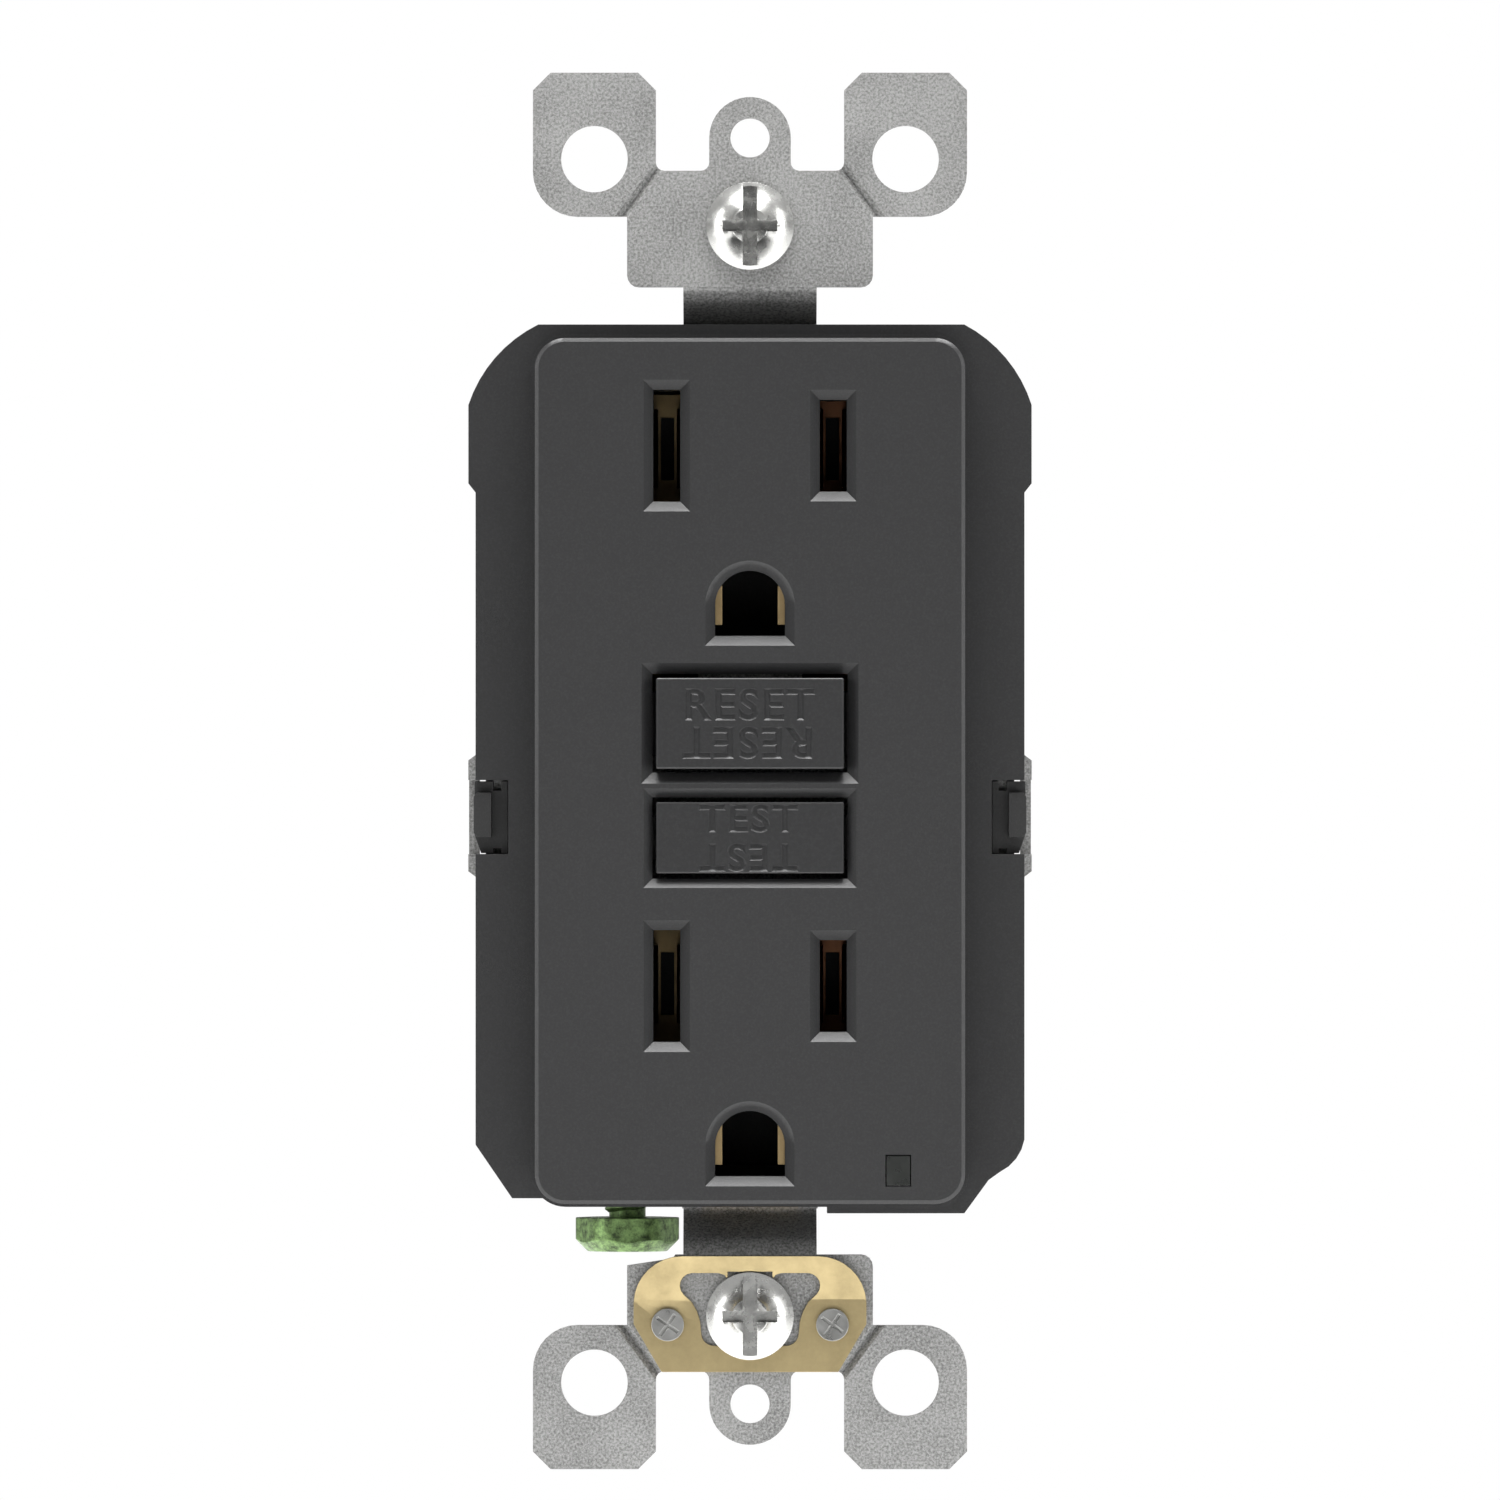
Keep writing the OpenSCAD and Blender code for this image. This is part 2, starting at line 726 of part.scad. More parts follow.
module rear_housing() {
    y0 = skirt_y + 0.1;
    color(black) {
        for (s = [0, 1])
            mirror([s, 0, 0])
                housing_hook();
        difference() {
            plate(y0, rear_y)
                polygon(body_outline(0.7));
            // main cavity down to the back wall
            plate(y0 - 1, rear_y - 1.8)
                difference() {
                    polygon(body_outline(0.7 + rear_wall));
                    for (p = housing_screw_at)
                        translate(p)
                            circle(2.7);
                    for (s = [-1, 1], z = [line_z, load_z], k = [-1, 1])
                        translate([s * 16, z + k * 6.9])
                            square([10, 1.2], center = true);
                }
            for (p = housing_screw_at) {
                rod_y(p[0], p[1], 1.45, 0, 30);
                rod_y(p[0], p[1], 2.05, rear_y - 2.0, 30);
            }
            // open terminal windows in both side walls, for the screws and clamp plates
            for (s = [-1, 1], z = [line_z, load_z]) {
                box(s * 21 - 4.0, s * 21 + 4.0, 8.8, 20.3, z - 5.6, z + 5.6);
                for (k = [-1, 1])
                    rod_y(s * wire_dx, z + k * wire_dz, wire_hole_r, 19, 30);
            }
            // recess beside the strap's arms, and the slot for the ground tab
            for (s = [-1, 1])
                box(s * 22.6 - 1.85, s * 22.6 + 1.85, 0, 10.2, -7.5, 0.6);
            box(-13.8, -5.0, 0, 13.8, -36, -30.9);
            rod_z(ground_screw_x, ground_screw_y, 2.2, -32, -28);
            // shallow panel and wire strip gauge in the back
            box(-9.0, 9.0, rear_y - 0.3, 30, -11.0, 11.0);
            box(-0.9, 0.9, rear_y - 0.5, 30, 14.0, 27.0);
            for (z = [14.0, 27.0])
                box(-2.2, 2.2, rear_y - 0.5, 30, z - 0.3, z + 0.3);
            // room for a ground pin above the lower wall
            box(-2.9, 2.9, 0, 13.2, -31.2, -29);
        }
    }
}

// Terminal plate at side s and height z, with a foot that reaches the circuit board
module terminal(s, z) {
    color(s < 0 ? nickel : brass)
        difference() {
            union() {
                box(s * 16.5 - 0.5, s * 16.5 + 0.5, 9.8, 20.0, z - 5.4, z + 5.4);
                box(s * 13.0 - 3.5, s * 13.0 + 3.5, 19.2, 20.0, z - 1.3, z + 1.3);
                box(s * 9.9 - 0.4, s * 9.9 + 0.4, 19.2, board_y0, z - 1.3, z + 1.3);
            }
            rod_x(terminal_y, z, 2.25, s * 16.5 - 1, s * 16.5 + 1);
        }
}

// A slot along Y over a cross recess for a head of radius r; the head's top is at z = 0
module drive_recess(r, depth) {
    translate([-0.165 * r, -r - 1, -depth * 0.93])
        cube([0.33 * r, 2 * r + 2, depth + 1]);
    for (a = [0, 90])
        rotate([0, 0, a])
            translate([-0.62 * r, -0.13 * r, -depth])
                cube([1.24 * r, 0.26 * r, depth + 1]);
    rotate([0, 0, 45])
        translate([-0.24 * r, -0.24 * r, -depth * 0.6])
            cube([0.48 * r, 0.48 * r, depth + 1]);
}

// A pan-head screw along +Z: head on top, underside at z = 0
module pan_head(r, h) {
    difference() {
        rotate_extrude()
            polygon(concat(
                [[0, 0], [r, 0], [r, h * 0.3]],
                arc([r, h * 0.3], [r * 0.4, h], r * 1.1, 7),
                [[0, h]]
            ));
        translate([0, 0, h])
            drive_recess(r, h * 0.7);
    }
}

// Terminal screw at side s and height z, head outwards
module terminal_screw(s, z) {
    color(s < 0 ? nickel : brass)
        translate([s * 17.15, terminal_y, z])
            rotate([0, s * 90, 0]) {
                pan_head(3.95, 2.2);
                translate([0, 0, -6.2])
                    cylinder(h = 6.3, r = 2.08);
            }
}

// Pressure plate that the terminal screw draws outwards onto the wires
module clamp_plate(s, z) {
    color(s < 0 ? nickel : brass)
        difference() {
            box(s * 12.9 - 0.7, s * 12.9 + 0.7, 11.0, 19.0, z - 5.0, z + 5.0);
            rod_x(terminal_y, z, 2.12, s * 12.9 - 1, s * 12.9 + 1);
            // grooves that grip the wires
            for (k = [-1, 1], y = [12.5 : 1.5 : 18])
                box(s * 13.6 - 0.2, s * 13.6 + 0.2, y - 0.2, y + 0.2,
                    z + k * wire_dz - 1.5, z + k * wire_dz + 1.5);
        }
}

module line_conductors() {
    y0 = well_y + 0.05;
    color(copper)
        for (s = [-1, 1]) {
            rod_y(s * 1.8, core_z, 0.8, y0, board_y0);
            box(s * 4.0 - 3.0, s * 4.0 + 3.0, y0, y0 + 0.6, core_z - 0.7, core_z + 0.7);
            box(s * slot_x - 1.0, s * slot_x + 1.0, y0, y0 + 0.6, core_z - 0.7, arm_pivot_z + 0.4);
        }
}

// Moving contact arm for side s, hung from a round knuckle at its lower end
module contact_arm(s) {
    color(copper) {
        rod_x(arm_pivot_y, arm_pivot_z, 0.4, s * slot_x - 1.1, s * slot_x + 1.1);
        box(s * slot_x - 1.1, s * slot_x + 1.1, arm_pivot_y - 0.2, arm_pivot_y + 0.2, arm_pivot_z, 3.2);
        rod_y(s * slot_x, 2.0, 1.2, 13.4, arm_pivot_y - 0.1);
    }
}

module contact_carriage() {
    color([0.85, 0.85, 0.8])
        difference() {
            union() {
                box(-4.4, 4.4, 14.9, 18.9, 0.2, 7.0);
                for (s = [-1, 1])
                    box(s * 6.0 - 1.7, s * 6.0 + 1.7, 14.9, 16.2, 1.4, 5.6);
            }
            rod_y(0, reset_z, 1.0, 14, 20);
            box(-2.4, 2.4, 16.95, 18.15, 0.6, 8);
            // room for the plunger's head
            box(-1.4, 1.4, 16.0, 19.5, 6.0, 8);
        }
}

// Latch plate: a keyhole grips the reset stem's groove, a bent tab takes the plunger
module latch_plate() {
    color(steel)
        difference() {
            union() {
                box(-2.2, 2.2, 17.1, 18.0, 1.0, 8.55);
                box(-2.2, 2.2, 15.2, 19.0, 8.05, 8.55);
            }
            rod_y(0, reset_z, 0.55, 16, 19);
            rod_y(0, reset_z - 1.25, 0.9, 16, 19);
            box(-0.55, 0.55, 16, 19, reset_z - 1.25, reset_z);
            box(-1.25, 1.25, 17, 18.1, 7.0, 8.05);
            box(-0.65, 0.65, 15.7, 18.3, 8, 9);
        }
}

module solenoid_plunger() {
    color(steel) {
        rod_z(0, coil_axis_y, 1.4, 8.9, 20.5);
        rod_z(0, coil_axis_y, 0.5, 7.8, 9.0);
        rod_z(0, coil_axis_y, 1.1, 7.2, 7.85);
    }
}

module plunger_spring() {
    color(steel)
        translate([0, coil_axis_y, 0])
            rotate([90, 0, 0])
                coil(1.0, 0.16, 20.6, 24.1, 6);
}

module solenoid_bobbin() {
    color([0.9, 0.88, 0.8])
        difference() {
            union() {
                rod_z(0, coil_axis_y, 2.1, 10.9, 24.1);
                for (z = [10.9, 23.4])
                    box(-3.6, 3.6, coil_axis_y - 3.6, coil_axis_y + 3.6, z, z + 0.7);
            }
            rod_z(0, coil_axis_y, 1.5, 10, 25);
        }
}

module solenoid_winding() {
    color(copper)
        difference() {
            rod_z(0, coil_axis_y, 3.3, 11.6, 23.4);
            rod_z(0, coil_axis_y, 2.1, 11, 24);
        }
}

module solenoid_frame() {
    color(steel)
        difference() {
            box(-4.5, 4.5, 15.2, 20.0, 10.2, 24.8);
            box(-3.7, 3.7, 15, 21, 10.9, 24.1);
            rod_z(0, coil_axis_y, 1.6, 9, 11.5);
        }
}

module transformer_boat() {
    color([0.2, 0.2, 0.22])
        difference() {
            box(-8.6, 8.6, 14.35, 21.4, -28.2, -12.7);
            rod_y(0, core_z, 7.55, 14.95, 22);
            rod_y(0, core_z, 3.2, 14, 16);
            // the arms' knuckles and the conductor bars pass in front
            box(-9, 9, 14, 14.36, -13.5, -12);
        }
}

// A ring core about the line conductors, between two depths
module ring_core(y0, y1) {
    difference() {
        rod_y(0, core_z, 7.5, y0, y1);
        rod_y(0, core_z, 3.6, y0 - 1, y1 + 1);
    }
}

module sense_core() {
    color([0.35, 0.33, 0.3])
        ring_core(15.0, 17.9);
}

module neutral_core() {
    color([0.3, 0.4, 0.3])
        ring_core(18.2, 21.1);
}

module circuit_board() {
    color([0.1, 0.35, 0.2])
        difference() {
            plate(board_y0, board_y1)
                polygon([
                    [-10.6, -29.6], [9.6, -29.6], [9.6, -31.3], [13.2, -31.3], [13.2, -27.6],
                    [10.6, -27.0], [10.6, 26.5], [-10.6, 26.5]
                ]);
            for (s = [-1, 1])
                rod_y(s * 8.6, s * 24.6, 1.0, 20, 24);
        }
}

// A leaded part lying along Z in front of the board, with square leads
module axial_part(x, z, r, length) {
    y = board_y0 - r - 0.3;
    lead = 0.2;
    reach = length / 2 + 0.9;
    rod_z(x, y, r, z - length / 2, z + length / 2);
    for (k = [-1, 1])
        translate([x, 0, z + k * reach]) {
            box(-lead, lead, y - lead, board_y0, -lead, lead);
            translate([0, 0, -k * 0.45])
                box(-lead, lead, y - lead, y + lead, -0.5, 0.5);
        }
}

module board_resistors() {
    color([0.75, 0.62, 0.45])
        for (x = [-8.9, -6.3, 6.3, 8.9])
            axial_part(x, -6.2, 0.9, 4.6);
}

module board_diodes() {
    color([0.15, 0.15, 0.15])
        for (x = [-9.2, -6.9, 9.2])
            axial_part(x, 4.2, 0.8, 3.6);
}

module surge_varistor() {
    color([0.2, 0.35, 0.6]) {
        rod_x(17.7, 20.6, 3.4, 6.0, 9.0);
        for (z = [18.6, 22.6])
            rod_y(7.5, z, 0.3, 18, board_y0);
    }
}

module filter_capacitor() {
    color([0.75, 0.6, 0.15]) {
        box(-9.2, -5.4, 15.0, board_y0 - 0.4, 10.5, 22.0);
        for (z = [12, 20.5])
            rod_y(-7.3, z, 0.3, board_y0 - 0.5, board_y0);
    }
}

module trip_thyristor() {
    color([0.12, 0.12, 0.12]) {
        difference() {
            rod_y(7.4, 11.8, 2.1, 16.6, 20.6);
            box(5, 10, 16, 21, 12.9, 15);
        }
        for (x = [6.1, 7.4, 8.7])
            rod_y(x, 11.8, 0.25, 20.5, board_y0);
    }
}

module control_chip() {
    color([0.12, 0.12, 0.12]) {
        box(-2.4, 2.4, board_y0 - 1.7, board_y0 - 0.3, -9.0, -3.6);
        for (z = [-8.4 : 1.4 : -4.0], s = [-1, 1])
            box(s * 2.7 - 0.4, s * 2.7 + 0.4, board_y0 - 0.6, board_y0, z - 0.2, z + 0.2);
    }
}

module status_led() {
    color([0.3, 0.8, 0.35]) {
        rod_y(lamp_x, lamp_z, 0.7, 19.9, board_y0 - 0.3);
        rod_y(lamp_x, lamp_z, 0.8, board_y0 - 0.6, board_y0);
    }
}

module led_light_pipe() {
    color([0.25, 0.27, 0.25]) {
        box(lamp_x - 0.94, lamp_x + 0.94, face_y + 0.1, face_in_y, lamp_z - 1.17, lamp_z + 1.17);
        box(lamp_x - 0.7, lamp_x + 0.7, face_in_y - e, 19.8, lamp_z - 0.7, lamp_z + 0.7);
    }
}

// Leaf that the test button's leg presses towards the board
module test_leaf() {
    color(brass) {
        box(-1.2, 1.2, 15.0, 15.3, -12.4, -3.9);
        box(-1.2, 1.2, 15.0, board_y0, -12.4, -12.0);
    }
}

module housing_screws() {
    color(steel)
        for (p = housing_screw_at)
            translate([p[0], rear_y - 2.0, p[1]])
                rotate([-90, 0, 0]) {
                    pan_head(2.0, 1.5);
                    translate([0, 0, -22.2])
                        cylinder(h = 22.3, r = 1.25);
                }
}

module ground_screw() {
    head_z = -34.35;
    color([0.30, 0.52, 0.27])
        translate([ground_screw_x, ground_screw_y, 0]) {
            // hex head, rounded off at its outer end, with a screwdriver slot
            difference() {
                intersection() {
                    translate([0, 0, head_z - 2.6])
                        cylinder(h = 2.6, r = 4.35, $fn = 6);
                    rotate_extrude()
                        polygon([
                            [0, head_z], [3.98, head_z], [3.98, head_z - 1.7],
                            [3.1, head_z - 2.6], [0, head_z - 2.6]
                        ]);
                }
                translate([-5, -0.5, head_z - 3])
                    cube([10, 1.0, 1.3]);
            }
            translate([0, 0, head_z - 0.01])
                cylinder(h = 5.2, r = 1.75);
        }
}

// Fibre washer that keeps a mounting screw on the strap
module retainer(z) {
    color([0.35, 0.22, 0.15])
        plate(3.0, 3.8)
            translate([0, z])
                difference() {
                    round_rect(7.8, 7.0, 1.5);
                    circle(1.62);
                }
}

// Mounting screw at height z, its head's underside at depth y
module mounting_screw(z, y) {
    neck_y = 4.0;
    tip_y = 24.0;
    color(nickel)
        translate([0, 0, z]) {
            translate([0, y, 0])
                rotate([90, 0, 0])
                    pan_head(3.35, 2.0);
            rod_y(0, 0, 1.55, y - 0.1, neck_y + 0.1);
            rod_y(0, 0, 1.7526, neck_y, tip_y);
        }
}

front_cover();
rear_housing();
middle_frame();
mounting_strap();
self_grounding_clip();
clip_rivets();
ground_contact(ground_zs[0]);  // ground_contact_upper
ground_contact(ground_zs[1]);  // ground_contact_lower
ground_contact_rivets();
receptacle_contact(1);  // hot_receptacle_contact
receptacle_contact(-1);  // neutral_receptacle_contact
fixed_contact_points();
terminal(1, line_z);  // line_hot_terminal
terminal(-1, line_z);  // line_neutral_terminal
terminal(1, load_z);  // load_hot_terminal
terminal(-1, load_z);  // load_neutral_terminal
line_conductors();
circuit_board();
transformer_boat();
sense_core();
neutral_core();
solenoid_bobbin();
solenoid_winding();
solenoid_frame();
surge_varistor();
filter_capacitor();
trip_thyristor();
control_chip();
board_resistors();
board_diodes();
status_led();
led_light_pipe();
test_leaf();
housing_screws();
reset_spring();
test_spring();
plunger_spring();
reset_button();
reset_stem();
test_button();
solenoid_plunger();
contact_carriage();
latch_plate();
contact_arm(1);  // hot_contact_arm
contact_arm(-1);  // neutral_contact_arm
terminal_screw(1, line_z);  // line_hot_screw
terminal_screw(-1, line_z);  // line_neutral_screw
terminal_screw(1, load_z);  // load_hot_screw
terminal_screw(-1, load_z);  // load_neutral_screw
clamp_plate(1, line_z);  // line_hot_clamp
clamp_plate(-1, line_z);  // line_neutral_clamp
clamp_plate(1, load_z);  // load_hot_clamp
clamp_plate(-1, load_z);  // load_neutral_clamp
ground_screw();
retainer(screw_z);  // retainer_top
retainer(-screw_z);  // retainer_bottom
mounting_screw(screw_z, -strap_t);  // mounting_screw_top
mounting_screw(-screw_z, -strap_t - 0.45);  // mounting_screw_bottom
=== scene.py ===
"""Looks of a duplex outlet with ground-fault protection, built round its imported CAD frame."""

import json
import math

import bmesh
import bpy
from mathutils import Matrix, Vector


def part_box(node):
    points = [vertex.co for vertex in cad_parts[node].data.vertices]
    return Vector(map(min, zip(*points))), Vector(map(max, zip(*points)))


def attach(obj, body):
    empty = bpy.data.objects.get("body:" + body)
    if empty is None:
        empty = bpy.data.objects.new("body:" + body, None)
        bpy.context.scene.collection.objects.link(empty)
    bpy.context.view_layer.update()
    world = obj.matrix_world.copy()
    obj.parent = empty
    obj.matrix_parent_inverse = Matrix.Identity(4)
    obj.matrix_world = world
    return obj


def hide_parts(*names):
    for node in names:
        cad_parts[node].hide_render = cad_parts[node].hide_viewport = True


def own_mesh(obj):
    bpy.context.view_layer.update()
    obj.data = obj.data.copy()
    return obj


MM = 0.001

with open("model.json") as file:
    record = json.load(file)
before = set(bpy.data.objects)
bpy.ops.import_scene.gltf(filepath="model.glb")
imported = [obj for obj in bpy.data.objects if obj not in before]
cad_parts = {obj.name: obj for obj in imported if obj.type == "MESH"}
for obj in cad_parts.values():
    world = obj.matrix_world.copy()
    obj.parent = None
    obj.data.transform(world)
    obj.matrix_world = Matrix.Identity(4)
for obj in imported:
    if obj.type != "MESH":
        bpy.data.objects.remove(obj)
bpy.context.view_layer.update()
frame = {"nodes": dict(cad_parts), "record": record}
scene = bpy.context.scene
slot_of = {s["node"]: s["material_slot"] for s in frame["record"]["subparts"]}
body_of = {n: b for b, nodes in frame["record"]["behaviour"]["bodies"].items() for n in nodes}

# mesh tolerances
WELD = 0.002 * MM
NEAR = 0.01 * MM
FLAT_ANGLE = math.radians(0.6)
BEVEL_ANGLE = math.radians(32)
SHARP_ANGLE = math.radians(38)
THREAD_SHARP_ANGLE = math.radians(30)

# the face's outer rim: everything on the front beyond these half sizes is its bevel
RIM_HALF_WIDTH = 15.5 * MM
RIM_HALF_HEIGHT = 32.0 * MM
RIM_WIDTH = 0.95 * MM
RIM_DEPTH = 0.45 * MM

# lettering, in millimetres like the cutters that carve it
LETTER_DEPTH = 0.15
LETTER_THINNING = -0.04
LETTER_SPACING = 1.12
LETTER_X = -0.1
CAPITAL_SHARE = 0.69  # height of a capital over the size of the font
BUTTON_EDGE = 0.22 * MM

# threads: start and end along the screw's axis, root radius and outer radius
MOUNTING_THREAD = (4.0 * MM, 24.0 * MM, 1.37 * MM, 1.7526 * MM)
GROUND_THREAD = (-34.34 * MM, -29.16 * MM, 1.4 * MM, 1.75 * MM)
TERMINAL_THREAD = (17.14 * MM, 10.95 * MM, 1.7 * MM, 2.08 * MM)
PITCH_32 = 25.4 / 32 * MM
THREAD_STEPS = 28
CREST_HALF = 0.07  # half widths of the ridge at its crest and foot, in pitches
FOOT_HALF = 0.44
FOOT_SINK = 0.97  # the ridge starts this share of the root radius from the axis

WIRE_PITCH = 0.2 * MM

FLOOR_Z = -0.26
FLOOR_SIZE = 8
CAMERA_DISTANCE = 1.6
CAMERA_Z = 1.6 * MM
VIEW_WIDTH = 114.8 * MM
SENSOR_WIDTH = 36


# ---------------------------------------------------------------- materials

class Nodes:
    """A small helper for building one material's node tree."""

    def __init__(self, name):
        self.material = bpy.data.materials.new(name)
        self.material.use_nodes = True
        self.tree = self.material.node_tree
        self.shader = self.tree.nodes["Principled BSDF"]
        self.place = self.add("ShaderNodeTexCoord").outputs["Object"]

    def add(self, kind, **settings):
        node = self.tree.nodes.new(kind)
        for key, value in settings.items():
            setattr(node, key, value)
        return node

    def link(self, source, target):
        self.tree.links.new(source, target)

    def fixed(self, **values):
        """Sets the shader's own sockets to plain values, such as Roughness=0.5."""
        for key, value in values.items():
            self.shader.inputs[key.replace("_", " ")].default_value = value

    def scaled(self, stretch):
        """Object coordinates in metres, stretched along X, Y and Z."""
        mapping = self.add("ShaderNodeMapping")
        mapping.inputs["Scale"].default_value = stretch
        self.link(self.place, mapping.inputs["Vector"])
        return mapping.outputs["Vector"]

    def noise(self, size, detail=3.0, stretch=(1, 1, 1), roughness=0.5):
        """Noise whose features are about size metres across."""
        node = self.add("ShaderNodeTexNoise")
        node.inputs["Scale"].default_value = 1.0 / size
        node.inputs["Detail"].default_value = detail
        node.inputs["Roughness"].default_value = roughness
        self.link(self.scaled(stretch), node.inputs["Vector"])
        return node.outputs["Fac"]

    def spread(self, value, low, high, start=0.3, end=0.7):
        """Maps a 0 to 1 texture to the range from low to high."""
        node = self.add("ShaderNodeMapRange")
        node.inputs["From Min"].default_value = start
        node.inputs["From Max"].default_value = end
        node.inputs["To Min"].default_value = low
        node.inputs["To Max"].default_value = high
        self.link(value, node.inputs["Value"])
        return node.outputs["Result"]

    def colour_between(self, value, dark, light, start=0.3, end=0.7):
        """Colours the shader from dark to light as a 0 to 1 texture goes from start to end."""
        ramp = self.add("ShaderNodeValToRGB")
        ramp.color_ramp.elements[0].position = start
        ramp.color_ramp.elements[0].color = (*dark, 1)
        ramp.color_ramp.elements[1].position = end
        ramp.color_ramp.elements[1].color = (*light, 1)
        self.link(value, ramp.inputs["Fac"])
        self.link(ramp.outputs["Color"], self.shader.inputs["Base Color"])

    def bump(self, heights):
        """Stacks bumps; each entry is (texture, height in metres, strength)."""
        normal = None
        for value, height, strength in heights:
            node = self.add("ShaderNodeBump")
            node.inputs["Distance"].default_value = height
            node.inputs["Strength"].default_value = strength
            self.link(value, node.inputs["Height"])
            if normal:
                self.link(normal, node.inputs["Normal"])
            normal = node.outputs["Normal"]
        self.link(normal, self.shader.inputs["Normal"])


def shade(colour, factor):
    return tuple(min(1.0, c * factor) for c in colour)


def plastic(name, colour, roughness, grain=0.16 * MM, depth=0.02 * MM):
    """Moulded thermoplastic with a fine spark-eroded grain and a few lighter specks."""
    n = Nodes(name)
    n.fixed(Metallic=0.0, Specular_IOR_Level=0.45, IOR=1.49)
    fine = n.noise(grain, 4, roughness=0.7)
    n.colour_between(fine, shade(colour, 0.9), shade(colour, 1.9), 0.45, 0.8)
    n.link(n.spread(fine, roughness + 0.05, roughness - 0.05), n.shader.inputs["Roughness"])
    n.bump([(fine, depth, 0.5), (n.noise(9 * MM, 2), 0.02 * MM, 0.25)])
    return n.material


def galvanised(name, colour, roughness):
    """Zinc-plated sheet steel: grey with a strong fine speckle, faint clouds and drawing lines."""
    n = Nodes(name)
    n.fixed(Metallic=0.6, IOR=1.8)
    speckle = n.noise(0.2 * MM, 3, roughness=0.75)
    cloud = n.noise(5 * MM, 4, roughness=0.5)
    mixed = n.add("ShaderNodeMath", operation="MULTIPLY_ADD")
    n.link(speckle, mixed.inputs[0])
    mixed.inputs[1].default_value = 0.9
    n.link(n.spread(cloud, 0.0, 0.1, 0.2, 0.8), mixed.inputs[2])
    n.colour_between(mixed.outputs["Value"], shade(colour, 0.42), shade(colour, 1.3), 0.38, 0.6)
    n.link(n.spread(speckle, roughness + 0.12, roughness - 0.08), n.shader.inputs["Roughness"])
    n.bump([(speckle, 0.02 * MM, 0.6), (n.noise(0.8 * MM, 3, (1, 1, 0.12)), 0.012 * MM, 0.3)])
    return n.material


def sheet_metal(name, colour, roughness, stretch=(1, 1, 0.08)):
    """Rolled brass, copper or steel with fine rolling lines and faint tarnish."""
    n = Nodes(name)
    n.fixed(Metallic=1.0)
    lines = n.noise(0.16 * MM, 4, stretch)
    tarnish = n.noise(2.2 * MM, 5, roughness=0.65)
    n.colour_between(tarnish, shade(colour, 0.8), shade(colour, 1.1))
    n.link(n.spread(tarnish, roughness + 0.07, roughness - 0.05), n.shader.inputs["Roughness"])
    n.bump([(lines, 0.006 * MM, 0.5), (n.noise(1.6 * MM, 3), 0.012 * MM, 0.3)])
    return n.material


def plated(name, colour, roughness):
    """Bright plating on a turned or headed screw, with faint handling marks."""
    n = Nodes(name)
    n.fixed(Metallic=1.0)
    marks = n.noise(0.9 * MM, 5, roughness=0.6)
    n.colour_between(marks, shade(colour, 0.88), shade(colour, 1.08))
    n.link(n.spread(marks, roughness - 0.04, roughness + 0.08), n.shader.inputs["Roughness"])
    n.bump([(n.noise(0.12 * MM, 3), 0.004 * MM, 0.4), (marks, 0.012 * MM, 0.35)])
    return n.material


def dyed(name, colour, roughness):
    """Green dye over zinc, worn and blotchy, darkest where it has pooled."""
    n = Nodes(name)
    n.fixed(Metallic=0.55)
    blotch = n.noise(0.7 * MM, 6, roughness=0.75)
    n.colour_between(blotch, shade(colour, 0.25), shade(colour, 2.0), 0.36, 0.66)
    n.link(n.spread(blotch, roughness + 0.15, roughness - 0.08), n.shader.inputs["Roughness"])
    n.bump([(blotch, 0.05 * MM, 0.7), (n.noise(0.15 * MM, 3), 0.01 * MM, 0.4)])
    return n.material


def lacquer(name, colour, roughness, coat=0.4):
    """A dipped or moulded electronic part with a slight gloss."""
    n = Nodes(name)
    n.fixed(Metallic=0.0, Coat_Weight=coat, Coat_Roughness=0.15)
    cloud = n.noise(1.5 * MM, 4)
    n.colour_between(cloud, shade(colour, 0.85), shade(colour, 1.12))
    n.link(n.spread(cloud, roughness - 0.05, roughness + 0.07), n.shader.inputs["Roughness"])
    n.bump([(n.noise(0.3 * MM, 3), 0.01 * MM, 0.4)])
    return n.material


def winding(name, colour):
    """Enamelled wire wound about Z in turns WIRE_PITCH apart, with painted shade between the turns
    and a painted highlight on each crest.
    """
    n = Nodes(name)
    n.fixed(Metallic=0.9, Coat_Weight=0.6, Coat_Roughness=0.12)
    wave = n.add("ShaderNodeTexWave", bands_direction="Z", wave_profile="SIN")
    # at a scale of 1 the wave texture draws 20 bands in 2 pi units
    wave.inputs["Scale"].default_value = 1 / WIRE_PITCH / 20 * 2 * math.pi
    wave.inputs["Distortion"].default_value = 0.4
    n.link(n.place, wave.inputs["Vector"])
    # painted shade and highlight: the colour darkens in the grooves between turns and lightens on
    # each turn's crest
    n.colour_between(wave.outputs["Fac"], shade(colour, 0.5), shade(colour, 1.2), 0.1, 0.9)
    n.link(n.spread(wave.outputs["Fac"], 0.45, 0.25), n.shader.inputs["Roughness"])
    n.bump([(wave.outputs["Fac"], 0.05 * MM, 0.8)])
    return n.material


